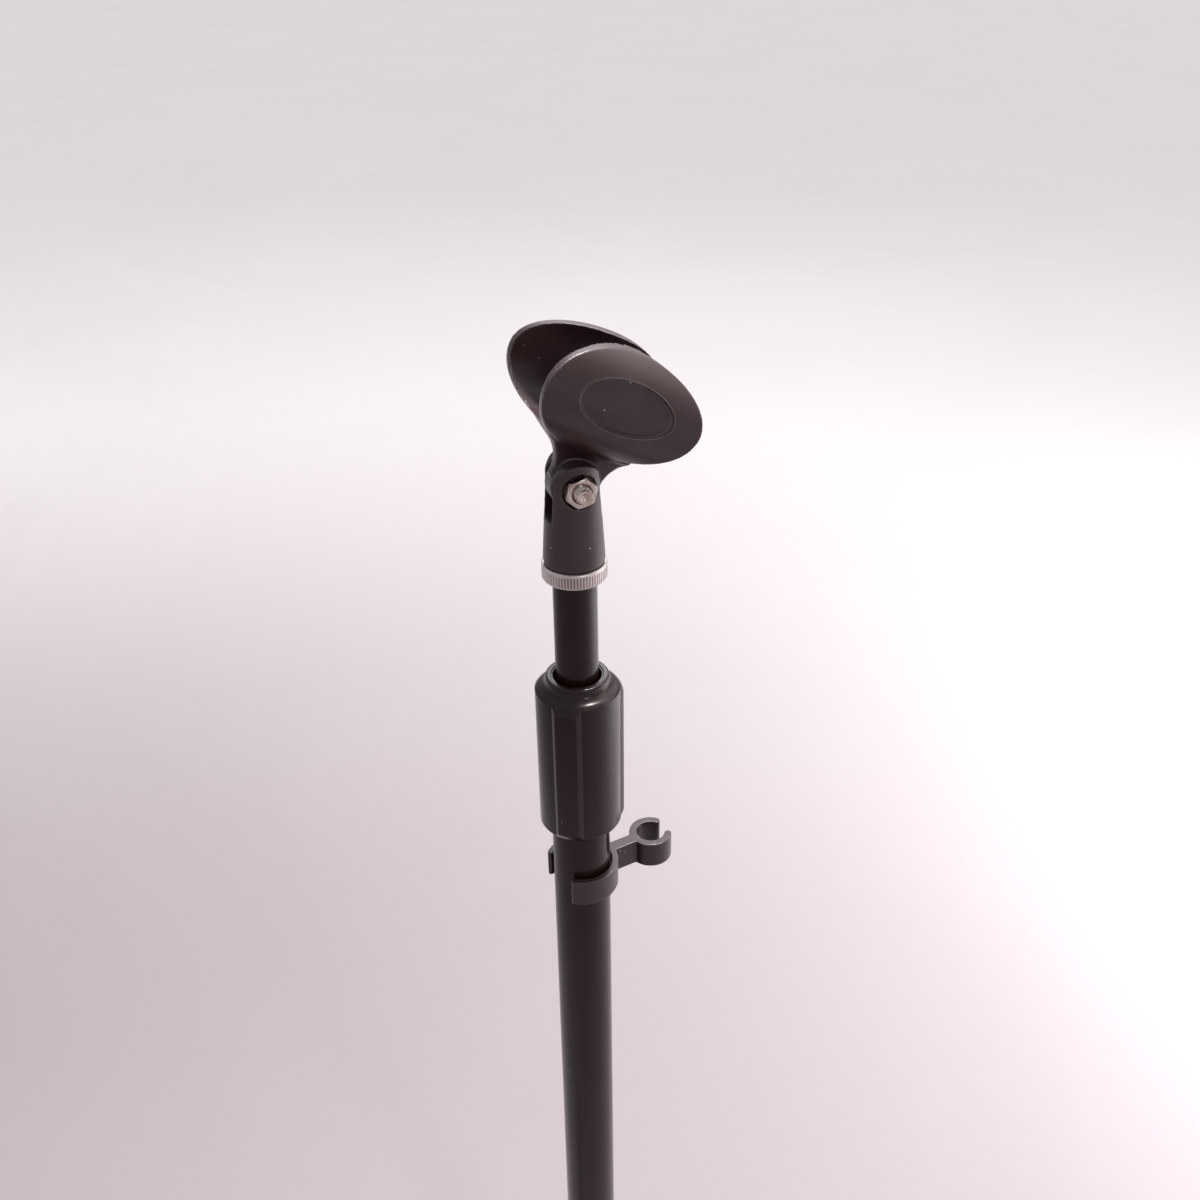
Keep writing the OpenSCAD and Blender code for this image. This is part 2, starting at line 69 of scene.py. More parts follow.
for name, place, aim, width, height, power in [
    ("window light", (1.5, -0.35, 1.25), (0, 0, 0.6), 0.9, 1.5, 5),
    ("ceiling light", (0.18, 0.07, 1.2), (0, 0, 0.53), 0.05, 0.05, 9),
    ("front light", (0.35, -1.5, 1.5), (0, 0, 0.6), 0.25, 0.25, 4.5),
    ("back light", (0.72, 2.03, 1.91), (0, 0, 0.64), 1.2, 0.6, 9),
    ("floor light", (1.05, -0.08, 0.5), (0.98, -0.04, 0), 0.6, 0.5, 9),
]:
    light = bpy.data.lights.new(name, "AREA")
    light.shape = "RECTANGLE"
    light.size, light.size_y, light.energy = width, height, power
    light.color = (1.0, 0.975, 0.98)
    lamp = bpy.data.objects.new(name, light)
    lamp.location = place
    lamp.rotation_euler = (Vector(aim) - Vector(place)).to_track_quat("-Z", "Y").to_euler()
    lamp.visible_camera = False
    bpy.context.scene.collection.objects.link(lamp)

sky = bpy.data.lights.new("skylight", "SUN")
sky.energy, sky.angle = 1.3, math.radians(70)
sky.color = (1.0, 0.965, 0.98)
skylight = bpy.data.objects.new("skylight", sky)
skylight.rotation_euler = Vector((0.45, 0.4, 0.8)).to_track_quat("Z", "Y").to_euler()
bpy.context.scene.collection.objects.link(skylight)


def put(tree, kind, inputs=None, **settings):
    """Adds one shader node; inputs are numbers, colours or other nodes' outputs."""
    node = tree.nodes.new(kind)
    for key, value in settings.items():
        setattr(node, key, value)
    for key, value in (inputs or {}).items():
        if isinstance(value, bpy.types.NodeSocket):
            tree.links.new(value, node.inputs[key])
        else:
            node.inputs[key].default_value = value
    return node


bpy.ops.object.select_all(action="DESELECT")
bpy.ops.mesh.primitive_grid_add(x_subdivisions=2, y_subdivisions=2, size=60)
paper = bpy.context.object
paper.name = "studio_paper"
paper_finish = bpy.data.materials.new("studio paper")
paper_finish.use_nodes = True
tree = paper_finish.node_tree
shader = tree.nodes["Principled BSDF"]
where = put(tree, "ShaderNodeTexCoord").outputs["Object"]
creases = put(tree, "ShaderNodeTexNoise", {"Vector": where, "Scale": 1.6, "Detail": 3.0, "Distortion": 1.2})
fibre = put(tree, "ShaderNodeTexNoise", {"Vector": where, "Scale": 240.0, "Detail": 2.0})
tone = put(tree, "ShaderNodeMix", {0: creases.outputs["Fac"], 6: (0.86, 0.83, 0.845, 1),
                                   7: (0.90, 0.875, 0.89, 1)}, data_type="RGBA")
# Painted shade: the paper is darker in a round patch on the left, standing in for light falling off there, and
# clears with the distance from it
dim_middle, dim_core, dim_edge = (-0.45, -0.25, 0), 0.65, 2.1
away = put(tree, "ShaderNodeVectorMath", {0: where, 1: dim_middle}, operation="DISTANCE").outputs["Value"]
shade = put(tree, "ShaderNodeMapRange", {"Value": away, "From Min": dim_edge, "From Max": dim_core},
            interpolation_type="SMOOTHSTEP").outputs[0]
# The dark tone mixed in here is painted shade on the paper, not a stain.
painted_shade_tone = put(tree, "ShaderNodeMix", {0: shade, 6: tone.outputs[2], 7: (0.395, 0.350, 0.367, 1)},
             data_type="RGBA")
tree.links.new(painted_shade_tone.outputs[2], shader.inputs["Base Color"])
bump = put(tree, "ShaderNodeBump", {"Height": creases.outputs["Fac"], "Strength": 0.45, "Distance": 0.02})
fine = put(tree, "ShaderNodeBump", {"Height": fibre.outputs["Fac"], "Strength": 0.06, "Distance": 0.0004,
                                    "Normal": bump.outputs["Normal"]})
tree.links.new(fine.outputs["Normal"], shader.inputs["Normal"])
shader.inputs["Roughness"].default_value = 0.85
shader.inputs["Specular IOR Level"].default_value = 0.1
paper.data.materials.append(paper_finish)

# ---------------------------------------------------------------- base plate
# The round foot is one iron casting, turned flat below and powder-coated black with a fine pebbled texture.
# Its boss has a socket for the lower tube, and a bolt comes up through the recess underneath.


def turned(name, rings, segments=160, bored=False):
    """A round piece built up from its foot: rings are (radius, height) in mm.
    A bored one closes on its first ring."""
    bpy.ops.object.select_all(action="DESELECT")
    radius, height = rings[0]
    bpy.ops.mesh.primitive_circle_add(vertices=segments, radius=radius * MM, fill_type="NGON",
                                      location=(0, 0, height * MM))
    piece = bpy.context.object
    piece.name = piece.data.name = name
    bpy.ops.object.transform_apply(location=True)
    bpy.ops.object.mode_set(mode="EDIT")
    bpy.ops.mesh.select_all(action="SELECT")
    for (r0, z0), (r1, z1) in zip(rings, rings[1:]):
        bpy.ops.mesh.extrude_region_move(TRANSFORM_OT_translate={"value": (0, 0, (z1 - z0) * MM)})
        bpy.ops.transform.resize(value=(r1 / r0, r1 / r0, 1), center_override=(0, 0, z1 * MM))
    if bored:
        bpy.ops.object.mode_set(mode="OBJECT")
        for face in piece.data.polygons:
            face.select = len(face.vertices) == segments
        bpy.ops.object.mode_set(mode="EDIT")
        bpy.ops.mesh.select_mode(type="FACE")
        bpy.ops.mesh.delete(type="ONLY_FACE")
        bpy.ops.mesh.select_mode(type="EDGE")
        bpy.ops.mesh.select_non_manifold(extend=False)
        bpy.ops.mesh.bridge_edge_loops()
    bpy.ops.mesh.select_all(action="SELECT")
    bpy.ops.mesh.normals_make_consistent(inside=False)
    bpy.ops.object.mode_set(mode="OBJECT")
    return piece


def arc(x, y, radius, start, stop, steps=8):
    """Points on an arc, from one angle to the other."""
    return [(x + radius * math.cos(math.radians(start + (stop - start) * i / steps)),
             y + radius * math.sin(math.radians(start + (stop - start) * i / steps))) for i in range(steps + 1)]


def place(piece, body, node, slot, finish, angle=30):
    """Shades a finished piece, paints it, and lets it stand for its CAD node on that node's body."""
    bpy.ops.object.select_all(action="DESELECT")
    piece.select_set(True)
    bpy.context.view_layer.objects.active = piece
    bpy.ops.object.transform_apply(location=True, rotation=True, scale=True)
    bpy.ops.object.shade_smooth_by_angle(angle=math.radians(angle))
    piece.data.materials.clear()
    piece.data.materials.append(finish)
    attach(piece, body)
    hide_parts(node)


def effect(name, inputs, outputs):
    """Starts a shader node group with named inputs and outputs."""
    tree = bpy.data.node_groups.new(name, "ShaderNodeTree")
    for label, value in inputs.items():
        tree.interface.new_socket(label, in_out="INPUT", socket_type="NodeSocketFloat").default_value = value
    for label in outputs:
        tree.interface.new_socket(label, in_out="OUTPUT", socket_type="NodeSocketFloat")
    return tree, tree.nodes.new("NodeGroupInput").outputs, tree.nodes.new("NodeGroupOutput")


def maths(tree, operation, first, second, clamp=False):
    return put(tree, "ShaderNodeMath", {0: first, 1: second}, operation=operation, use_clamp=clamp).outputs[0]


# Fine surface grain: a height for the bump and a slow tone for colour and gloss
grain, given, result = effect("surface grain", {"Size": 900.0, "Patch": 40.0}, ["Height", "Tone"])
place_on = put(grain, "ShaderNodeTexCoord").outputs["Object"]
pores = put(grain, "ShaderNodeTexNoise", {"Vector": place_on, "Scale": given["Size"], "Detail": 2.0,
                                          "Roughness": 0.6})
patches = put(grain, "ShaderNodeTexNoise", {"Vector": place_on, "Scale": given["Patch"], "Detail": 4.0,
                                            "Roughness": 0.55})
grain.links.new(pores.outputs["Fac"], result.inputs["Height"])
slow_tone = put(grain, "ShaderNodeMapRange", {"Value": patches.outputs["Fac"], "From Min": 0.32,
                                              "From Max": 0.68}).outputs[0]
grain.links.new(slow_tone, result.inputs["Tone"])

# Lighter edges: where a rounded normal leaves the true one, broken up by noise. It stands for wear, and on the
# satin clip finish also for a painted highlight along rims and recess edges
edge_light_and_wear, given, result = effect("edge wear and highlight", {"Radius": 0.0006, "Breakup": 220.0, "Bare": 0.42}, ["Mask"])
rounded = put(edge_light_and_wear, "ShaderNodeBevel", {"Radius": given["Radius"]}, samples=4).outputs["Normal"]
true = put(edge_light_and_wear, "ShaderNodeNewGeometry").outputs["Normal"]
turn = put(edge_light_and_wear, "ShaderNodeVectorMath", {0: rounded, 1: true}, operation="DOT_PRODUCT").outputs["Value"]
edge_breakup = put(edge_light_and_wear, "ShaderNodeTexNoise", {"Vector": put(edge_light_and_wear, "ShaderNodeTexCoord").outputs["Object"],
                                         "Scale": given["Breakup"], "Detail": 4.0}).outputs["Fac"]
open_edge = put(edge_light_and_wear, "ShaderNodeMapRange", {"Value": turn, "From Min": 0.985, "From Max": 0.90}).outputs[0]
kept = put(edge_light_and_wear, "ShaderNodeMapRange", {"Value": maths(edge_light_and_wear, "SUBTRACT", edge_breakup, given["Bare"]),
                                        "From Min": 0.0, "From Max": 0.2}).outputs[0]
edge_light_and_wear.links.new(maths(edge_light_and_wear, "MULTIPLY", open_edge, kept), result.inputs["Mask"])

# Dust: a thin film on what faces up, and a few pale specks
dust, given, result = effect("dust", {"Specks": 420.0, "Share": 0.965}, ["Film", "Speck"])
place_on = put(dust, "ShaderNodeTexCoord").outputs["Object"]
normal = put(dust, "ShaderNodeNewGeometry").outputs["Normal"]
facing = put(dust, "ShaderNodeSeparateXYZ", {0: normal}).outputs["Z"]
up = put(dust, "ShaderNodeMapRange", {"Value": facing, "From Min": 0.1, "From Max": 1.0}).outputs[0]
cloud = put(dust, "ShaderNodeTexNoise", {"Vector": place_on, "Scale": 60.0, "Detail": 5.0}).outputs["Fac"]
dust.links.new(maths(dust, "MULTIPLY", up, cloud), result.inputs["Film"])
cells = put(dust, "ShaderNodeTexVoronoi", {"Vector": place_on, "Scale": given["Specks"]})
draw = put(dust, "ShaderNodeSeparateColor", {0: cells.outputs["Color"]}).outputs["Red"]
chosen = maths(dust, "GREATER_THAN", draw, given["Share"])
spot = put(dust, "ShaderNodeMapRange", {"Value": cells.outputs["Distance"], "From Min": 0.16,
                                        "From Max": 0.08}).outputs[0]
dust.links.new(maths(dust, "MULTIPLY", chosen, spot), result.inputs["Speck"])


def black_finish(name, dark, light, rough, gloss, pores=900.0, depth=0.00002, film=0.05, edge_lightening=0.3,
                 specks=0.965, strength=0.25, bare=0.42):
    """A black moulded, painted or coated surface with grain, lightened edges and a little dust; the edges are
    wear, and where lightened strongly a painted rim highlight.
    """
    finish = bpy.data.materials.new(name)
    finish.use_nodes = True
    tree = finish.node_tree
    shader = tree.nodes["Principled BSDF"]
    skin = put(tree, "ShaderNodeGroup", node_tree=grain)
    skin.inputs["Size"].default_value = pores
    edge = put(tree, "ShaderNodeGroup", node_tree=edge_light_and_wear)
    edge.inputs["Bare"].default_value = bare
    powder = put(tree, "ShaderNodeGroup", node_tree=dust)
    powder.inputs["Share"].default_value = specks
    body_tone = put(tree, "ShaderNodeMix", {0: skin.outputs["Tone"], 6: (*dark, 1), 7: (*light, 1)},
                    data_type="RGBA")
    # Edges are mixed towards grey: wear, and on the satin clip finish a painted highlight along rims.
    lightened_edges = put(tree, "ShaderNodeMix", {0: maths(tree, "MULTIPLY", edge.outputs["Mask"], edge_lightening),
                                         6: body_tone.outputs[2], 7: (0.16, 0.14, 0.145, 1)}, data_type="RGBA")
    haze = put(tree, "ShaderNodeMix", {0: maths(tree, "MULTIPLY", powder.outputs["Film"], film),
                                       6: lightened_edges.outputs[2], 7: (0.42, 0.38, 0.38, 1)}, data_type="RGBA")
    speckled = put(tree, "ShaderNodeMix", {0: maths(tree, "MULTIPLY", powder.outputs["Speck"], 0.5),
                                           6: haze.outputs[2], 7: (0.55, 0.5, 0.5, 1)}, data_type="RGBA")
    tree.links.new(speckled.outputs[2], shader.inputs["Base Color"])
    dullness = maths(tree, "ADD", maths(tree, "MULTIPLY", skin.outputs["Tone"], 0.06), rough - 0.03)
    tree.links.new(maths(tree, "ADD", dullness, maths(tree, "MULTIPLY", powder.outputs["Film"], 0.15), True),
                   shader.inputs["Roughness"])
    bump = put(tree, "ShaderNodeBump", {"Height": skin.outputs["Height"], "Strength": strength,
                                        "Distance": depth})
    tree.links.new(bump.outputs["Normal"], shader.inputs["Normal"])
    shader.inputs["Specular IOR Level"].default_value = gloss
    return finish


powder_coat = black_finish("pebbled powder coat", (0.010, 0.008, 0.008), (0.016, 0.013, 0.013), 0.5, 0.4,
                           pores=1500.0, depth=0.00012, film=0.10, strength=0.6)
plate = turned("base_casting", [(14.8, 3), (117.4, 3), (118, 3.6)] + arc(115, 9, 3, 0, 80)
               + [(52, 15)] + arc(31, 24.4, 9, 268, 186) + arc(20, 28, 2, 0, 90, 4)
               + [(11.9, 30), (11.42, 29.5), (11.42, 18), (5.5, 18), (5.5, 13), (14.8, 13)],
               segments=240, bored=True)
place(plate, "base", "base_plate", "cast_base", powder_coat)

# ---------------------------------------------------------------- foot ring
# A black rubber ring is pushed over the plate's rim. It carries the stand and grips the floor.
rubber_finish = black_finish("moulded rubber", (0.012, 0.011, 0.011), (0.02, 0.018, 0.018), 0.7, 0.3,
                             pores=700.0, depth=0.00005, film=0.25, edge_lightening=0.1)
foot_ring = turned("foot_ring", [(106, 3), (106, 0.4), (106.4, 0)] + arc(118.46, 1.5, 1.5, -90, 0, 5)
                   + arc(118.96, 7, 1, 0, 90, 5) + [(118.01, 8), (118.01, 3)], segments=240, bored=True)
place(foot_ring, "base", "base_ring", "rubber", rubber_finish)


# ---------------------------------------------------------------- base bolt, washers and tube plug
# A zinc-plated hexagon bolt with a flat and a sprung washer pulls the plug in the lower tube down into the
# socket. They keep their plain shapes, and only get their finish here.
def bare_metal(name, tint, rough, stain=(0.4, 0.32, 0.27), stained=0.15):
    """Plated or bare metal: fine turning lines, a cloudy tint and slightly dull edges."""
    finish = bpy.data.materials.new(name)
    finish.use_nodes = True
    tree = finish.node_tree
    shader = tree.nodes["Principled BSDF"]
    where = put(tree, "ShaderNodeTexCoord").outputs["Object"]
    along = put(tree, "ShaderNodeMapping", {"Vector": where, "Scale": (1.0, 1.0, 30.0)}).outputs[0]
    lines = put(tree, "ShaderNodeTexNoise", {"Vector": along, "Scale": 90.0, "Detail": 3.0}).outputs["Fac"]
    skin = put(tree, "ShaderNodeGroup", node_tree=grain)
    skin.inputs["Patch"].default_value = 260.0
    edge = put(tree, "ShaderNodeGroup", node_tree=edge_light_and_wear)
    edge.inputs["Radius"].default_value = 0.0003
    clouded = put(tree, "ShaderNodeMix", {0: maths(tree, "MULTIPLY", skin.outputs["Tone"], stained),
                                          6: (*tint, 1), 7: (*stain, 1)}, data_type="RGBA")
    bright = put(tree, "ShaderNodeMix", {0: maths(tree, "MULTIPLY", edge.outputs["Mask"], 0.5),
                                         6: clouded.outputs[2], 7: (0.9, 0.88, 0.86, 1)}, data_type="RGBA")
    tree.links.new(bright.outputs[2], shader.inputs["Base Color"])
    tree.links.new(maths(tree, "ADD", maths(tree, "MULTIPLY", lines, 0.16), rough - 0.08, True),
                   shader.inputs["Roughness"])
    bump = put(tree, "ShaderNodeBump", {"Height": lines, "Strength": 0.3, "Distance": 0.00001})
    tree.links.new(bump.outputs["Normal"], shader.inputs["Normal"])
    shader.inputs["Metallic"].default_value = 1.0
    return finish


def repaint(nodes, finish):
    """Gives CAD nodes that stay as they are a finish of their own."""
    for name in nodes:
        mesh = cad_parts[name].data
        mesh.materials.clear()
        mesh.materials.append(finish)


zinc = bare_metal("zinc plate", (0.62, 0.62, 0.6), 0.38, stain=(0.5, 0.48, 0.36))
dark_spring = bare_metal("oiled spring steel", (0.3, 0.29, 0.28), 0.42)
repaint(["base_bolt", "base_washer", "tube_plug", "top_stud"], zinc)
repaint(["base_spring_washer"], dark_spring)

# ---------------------------------------------------------------- lower tube and its cover ring
# A drawn steel tube, painted black and fairly glossy, stands in the base. A moulded plastic ring hides
# the joint.
socket_floor, lower_top, lower_r, lower_bore = 18, 494, 11.4, 9.9
tube_paint = black_finish("black tube paint", (0.0105, 0.0032, 0.0030), (0.0135, 0.0052, 0.0050), 0.18, 0.24,
                          pores=260.0, depth=0.00001, film=0.02, edge_lightening=0.5, specks=0.992)
lower_tube = turned("lower_tube_painted",
                    [(11.1, socket_floor), (lower_r, 18.3), (lower_r, 493.7), (11.1, lower_top),
                     (10.1, lower_top), (lower_bore, 493.8), (lower_bore, 18.2), (10.1, socket_floor)],
                    bored=True)
place(lower_tube, "base", "lower_tube", "black_tube", tube_paint)

grip_finish = black_finish("glossy moulded black", (0.0100, 0.0032, 0.0030), (0.0130, 0.0052, 0.0050),
                           0.16, 0.30, pores=500.0, depth=0.00001, film=0.03, edge_lightening=0.35, specks=0.985)
collar = turned("base_cover_ring", [(11.42, 30), (18.2, 30), (18.5, 30.3), (19, 31.5)]
                + arc(24, 44, 11, 222, 186) + [(12.7, 43.7), (12.3, 44), (11.42, 44)], bored=True)
place(collar, "base", "base_collar", "grip_plastic", grip_finish)

# ---------------------------------------------------------------- cable clip
# A springy moulded clip in satin black plastic: a C-shaped ring on the tube, a short arm, and an open hook
# for the microphone's cable. All of its rims and tips are rounded.
cable_foot, cable_top = 435.1, 446.6
spring_in, spring_out, spring_gap = 12.25, 14.7, 95.6
hook_in, hook_out, hook_gap = 5.8, 8.8, 76.6
hook_reach, hook_heading = 32.6, 10


def apply_all(piece):
    """Makes a piece's modifiers part of its mesh."""
    bpy.ops.object.select_all(action="DESELECT")
    piece.select_set(True)
    bpy.context.view_layer.objects.active = piece
    for modifier in list(piece.modifiers):
        bpy.ops.object.modifier_apply(modifier=modifier.name)


def combine(piece, tool, operation):
    """Joins, cuts or trims a piece with another shape, which is used up."""
    step = piece.modifiers.new(operation, "BOOLEAN")
    step.operation, step.object, step.solver = operation, tool, "EXACT"
    apply_all(piece)
    bpy.data.objects.remove(tool)


def block(low, high):
    """A straight-sided block between two corners."""
    bpy.ops.object.select_all(action="DESELECT")
    middle = [(a + b) / 2 * MM for a, b in zip(low, high)]
    bpy.ops.mesh.primitive_cube_add(size=MM, location=middle, scale=[b - a for a, b in zip(low, high)])
    bpy.ops.object.transform_apply(location=True, rotation=True, scale=True)
    return bpy.context.object


def choose(piece, test):
    """Selects the points that pass a test on their place in mm, and the edges and faces made only of them."""
    for vertex in piece.data.vertices:
        vertex.select = test(vertex.co / MM)
    for part in (piece.data.edges, piece.data.polygons):
        for item in part:
            item.select = all(piece.data.vertices[v].select for v in item.vertices)


def wedge(angle, reach, low, high):
    """A block that narrows to an edge on the axis and opens by an angle towards +X."""
    half = reach * math.tan(math.radians(angle / 2))
    piece = block((0, -half, low), (reach, half, high))
    choose(piece, lambda point: point.x < 0.1)
    bpy.ops.object.mode_set(mode="EDIT")
    bpy.ops.transform.resize(value=(1, 0.001, 1), center_override=(0, 0, low * MM))
    bpy.ops.object.mode_set(mode="OBJECT")
    return piece


def shifted(piece, x=0.0, y=0.0, z=0.0, turn=0.0, axis="Z"):
    """Turns a shape about an axis through the origin, then moves it."""
    turned_by = Matrix.Rotation(math.radians(turn), 4, axis)
    piece.data.transform(Matrix.Translation((x * MM, y * MM, z * MM)) @ turned_by)
    return piece


def melt(piece, grid, rounds):
    """Makes one skin of all the joined shapes and rounds its edges, as plastic fills a mould."""
    skin = piece.modifiers.new("skin", "REMESH")
    skin.mode, skin.voxel_size, skin.adaptivity = "VOXEL", grid * MM, 0
    smooth = piece.modifiers.new("rounding", "SMOOTH")
    smooth.factor, smooth.iterations = 0.5, rounds
    apply_all(piece)


def round_end(piece, radius, reach, heading, x=0.0):
    """Adds a round tip to the end of a curved spring wall."""
    tip = turned("tip", [(radius, cable_foot), (radius, cable_top)], segments=32)
    combine(piece, shifted(tip, x=x + reach * math.cos(math.radians(heading)),
                           y=reach * math.sin(math.radians(heading))), "UNION")


cable_clip = turned("cable_clip_moulded", [(spring_out, cable_foot), (spring_out, cable_top),
                                           (spring_in, cable_top), (spring_in, cable_foot)],
                    segments=144, bored=True)
combine(cable_clip, shifted(wedge(spring_gap, 20, cable_foot - 1, cable_top + 1), turn=180), "DIFFERENCE")
hook = shifted(turned("hook", [(hook_out, cable_foot), (hook_out, cable_top), (hook_in, cable_top),
                               (hook_in, cable_foot)], segments=96, bored=True), x=hook_reach)
combine(hook, shifted(wedge(hook_gap, 15, cable_foot - 1, cable_top + 1), x=hook_reach), "DIFFERENCE")
for side in (-1, 1):
    round_end(cable_clip, 1.22, (spring_in + spring_out) / 2, 180 + side * spring_gap / 2)
    round_end(hook, 1.5, (hook_in + hook_out) / 2, side * hook_gap / 2, hook_reach)
combine(cable_clip, hook, "UNION")
combine(cable_clip, block((13.5, -2.5, cable_foot), (25.2, 2.5, cable_top)), "UNION")
melt(cable_clip, 0.25, 7)
shifted(cable_clip, turn=hook_heading)
# This finish lightens its edges strongly and almost without gaps: a painted highlight along rims and recess
# edges, over a little wear. The clip, sleeve and cable clip share it.
clip_finish = black_finish("satin moulded black", (0.021, 0.0075, 0.0080), (0.027, 0.0110, 0.0122), 0.34, 0.50,
                           pores=1100.0, depth=0.00003, film=0.05, edge_lightening=0.8, bare=0.2)
place(cable_clip, "cable_ring", "cable_clip", "clip_plastic", clip_finish)

# ---------------------------------------------------------------- clutch core and collet
# Inside the grip a nylon core is glued on the lower tube's end, and a slit nylon collet closes round the upper
# tube. They and the guide keep their plain shapes, and only get their finish here.
nylon = bpy.data.materials.new("natural nylon")
nylon.use_nodes = True
tree = nylon.node_tree
shader = tree.nodes["Principled BSDF"]
skin = put(tree, "ShaderNodeGroup", node_tree=grain)
tone = put(tree, "ShaderNodeMix", {0: skin.outputs["Tone"], 6: (0.74, 0.72, 0.66, 1),
                                   7: (0.80, 0.79, 0.74, 1)}, data_type="RGBA")
tree.links.new(tone.outputs[2], shader.inputs["Base Color"])
bump = put(tree, "ShaderNodeBump", {"Height": skin.outputs["Height"], "Strength": 0.2, "Distance": 0.00002})
tree.links.new(bump.outputs["Normal"], shader.inputs["Normal"])
shader.inputs["Roughness"].default_value = 0.45
shader.inputs["Subsurface Weight"].default_value = 0.15
shader.inputs["Subsurface Scale"].default_value = 0.001
repaint(["clutch_core", "clutch_collet", "tube_guide"], nylon)

# ---------------------------------------------------------------- clutch grip
# The twist grip is moulded in glossy black plastic: a round body with three raised lands, a domed shoulder,
# and a short neck with a rolled lip. Inside are the bores for the core, the collet and the bush.
grip_foot, grip_top, body_r, land_r = 469.3, 536.8, 15.95, 17.1
land_heading, land_half, bevel_half = -124.8, 14, 20.5
land_pitch = 120
core_bore, neck_floor, neck_bore = 13.25, 524.3, 9.85


def soften(piece, width, steps, angle):
    """Rounds every edge sharper than the angle, as a mould or a buffing wheel leaves it."""
    bevel = piece.modifiers.new("soft edges", "BEVEL")
    bevel.width, bevel.segments, bevel.limit_method = width * MM, steps, "ANGLE"
    bevel.angle_limit = math.radians(angle)
    bevel.use_clamp_overlap = True
    apply_all(piece)


bpy.ops.object.select_all(action="DESELECT")
bpy.ops.mesh.primitive_circle_add(vertices=720, radius=body_r * MM, fill_type="NGON",
                                  location=(0, 0, grip_foot * MM))
grip = bpy.context.object
grip.name = grip.data.name = "clutch_grip_moulded"
bpy.ops.object.transform_apply(location=True)


def from_land(point):
    """How many degrees a point is from the middle of the nearest land."""
    heading = math.degrees(math.atan2(point.y, point.x)) - land_heading
    return abs((heading + land_pitch / 2) % land_pitch - land_pitch / 2)


rises = 13
for rise in range(rises):
    reach = bevel_half - (bevel_half - land_half) * (rise + 0.5) / rises
    choose(grip, lambda point: from_land(point) < reach)
    bpy.ops.object.mode_set(mode="EDIT")
    bpy.ops.mesh.select_mode(type="VERT")
    growth = (land_r / body_r) ** (1 / rises)
    bpy.ops.transform.resize(value=(growth, growth, 1), center_override=(0, 0, grip_foot * MM))
    bpy.ops.object.mode_set(mode="OBJECT")
bpy.ops.object.mode_set(mode="EDIT")
bpy.ops.mesh.select_all(action="SELECT")
bpy.ops.mesh.extrude_region_move(TRANSFORM_OT_translate={"value": (0, 0, (grip_top - grip_foot) * MM)})
bpy.ops.mesh.select_all(action="SELECT")
bpy.ops.mesh.normals_make_consistent(inside=False)
bpy.ops.object.mode_set(mode="OBJECT")
dome = turned("dome", [(15.2, grip_foot - 0.001), (15.6, grip_foot + 0.2), (17.2, grip_foot + 3.0)]
              + arc(12.2, 527.5, 5, 0, 70, 14) + [(12.6, 533.1), (12.15, 533.6), (11.9, 534.2)]
              + arc(11.0, 535.9, 0.9, 0, 80, 6) + [(9.9, 536.8)], segments=192)
combine(grip, dome, "INTERSECT")
combine(grip, turned("bores", [(11.9, grip_foot - 1), (11.9, 473.8), (core_bore, 473.8), (core_bore, 500.2),
                               (12.0, neck_floor), (neck_bore, neck_floor), (neck_bore, grip_top + 1)],
                     segments=128), "DIFFERENCE")
soften(grip, 0.35, 3, 24)
place(grip, "grip", "clutch_grip", "grip_plastic", grip_finish, angle=28)

neck_bush = turned("neck_bush_moulded", [(9.8, neck_floor), (9.8, 536.1), (9.55, 536.4), (9.2, 536.4),
                                         (9.0, 536.1), (9.0, neck_floor)], segments=128, bored=True)
place(neck_bush, "grip", "neck_bush", "grip_plastic", grip_finish)

# ---------------------------------------------------------------- upper tube
# The thinner steel tube slides in the lower one. It has the same paint, rubbed a little by the clutch,
# with a nylon guide on its foot and a steel stud pressed into its top.
upper_foot, upper_top, upper_r, upper_bore = 88.1, 578.1, 8, 6.8
upper_tube = turned("upper_tube_painted",
                    [(7.8, upper_foot), (upper_r, 88.3), (upper_r, 577.9), (7.8, upper_top),
                     (7.0, upper_top), (upper_bore, 577.9), (upper_bore, 88.3), (7.0, upper_foot)],
                    segments=128, bored=True)
place(upper_tube, "mast", "upper_tube", "black_tube", tube_paint)

# ---------------------------------------------------------------- knurled insert
# A nickel-plated zinc insert: a flange with a straight knurl below a plain lip, and a threaded hub that is
# moulded into the sleeve. It screws onto the stud.
knurl_foot, groove_foot, groove_top, lip_top, hub_top = 578.4, 578.8, 583.3, 584.3, 596.3
flange_r, foot_chamfer, hub_r = 11.6, 0.35, 9.2
groove_count, per_groove = 66, 6
groove_flank, groove_floor = 0.965, 0.975
bpy.ops.object.select_all(action="DESELECT")
bpy.ops.mesh.primitive_circle_add(vertices=groove_count * per_groove, radius=(flange_r - foot_chamfer) * MM,
                                  fill_type="NGON", location=(0, 0, knurl_foot * MM))
insert = bpy.context.object
insert.name = insert.data.name = "knurled_insert"
bpy.ops.object.transform_apply(location=True)
bpy.ops.object.mode_set(mode="EDIT")
bpy.ops.mesh.select_all(action="SELECT")


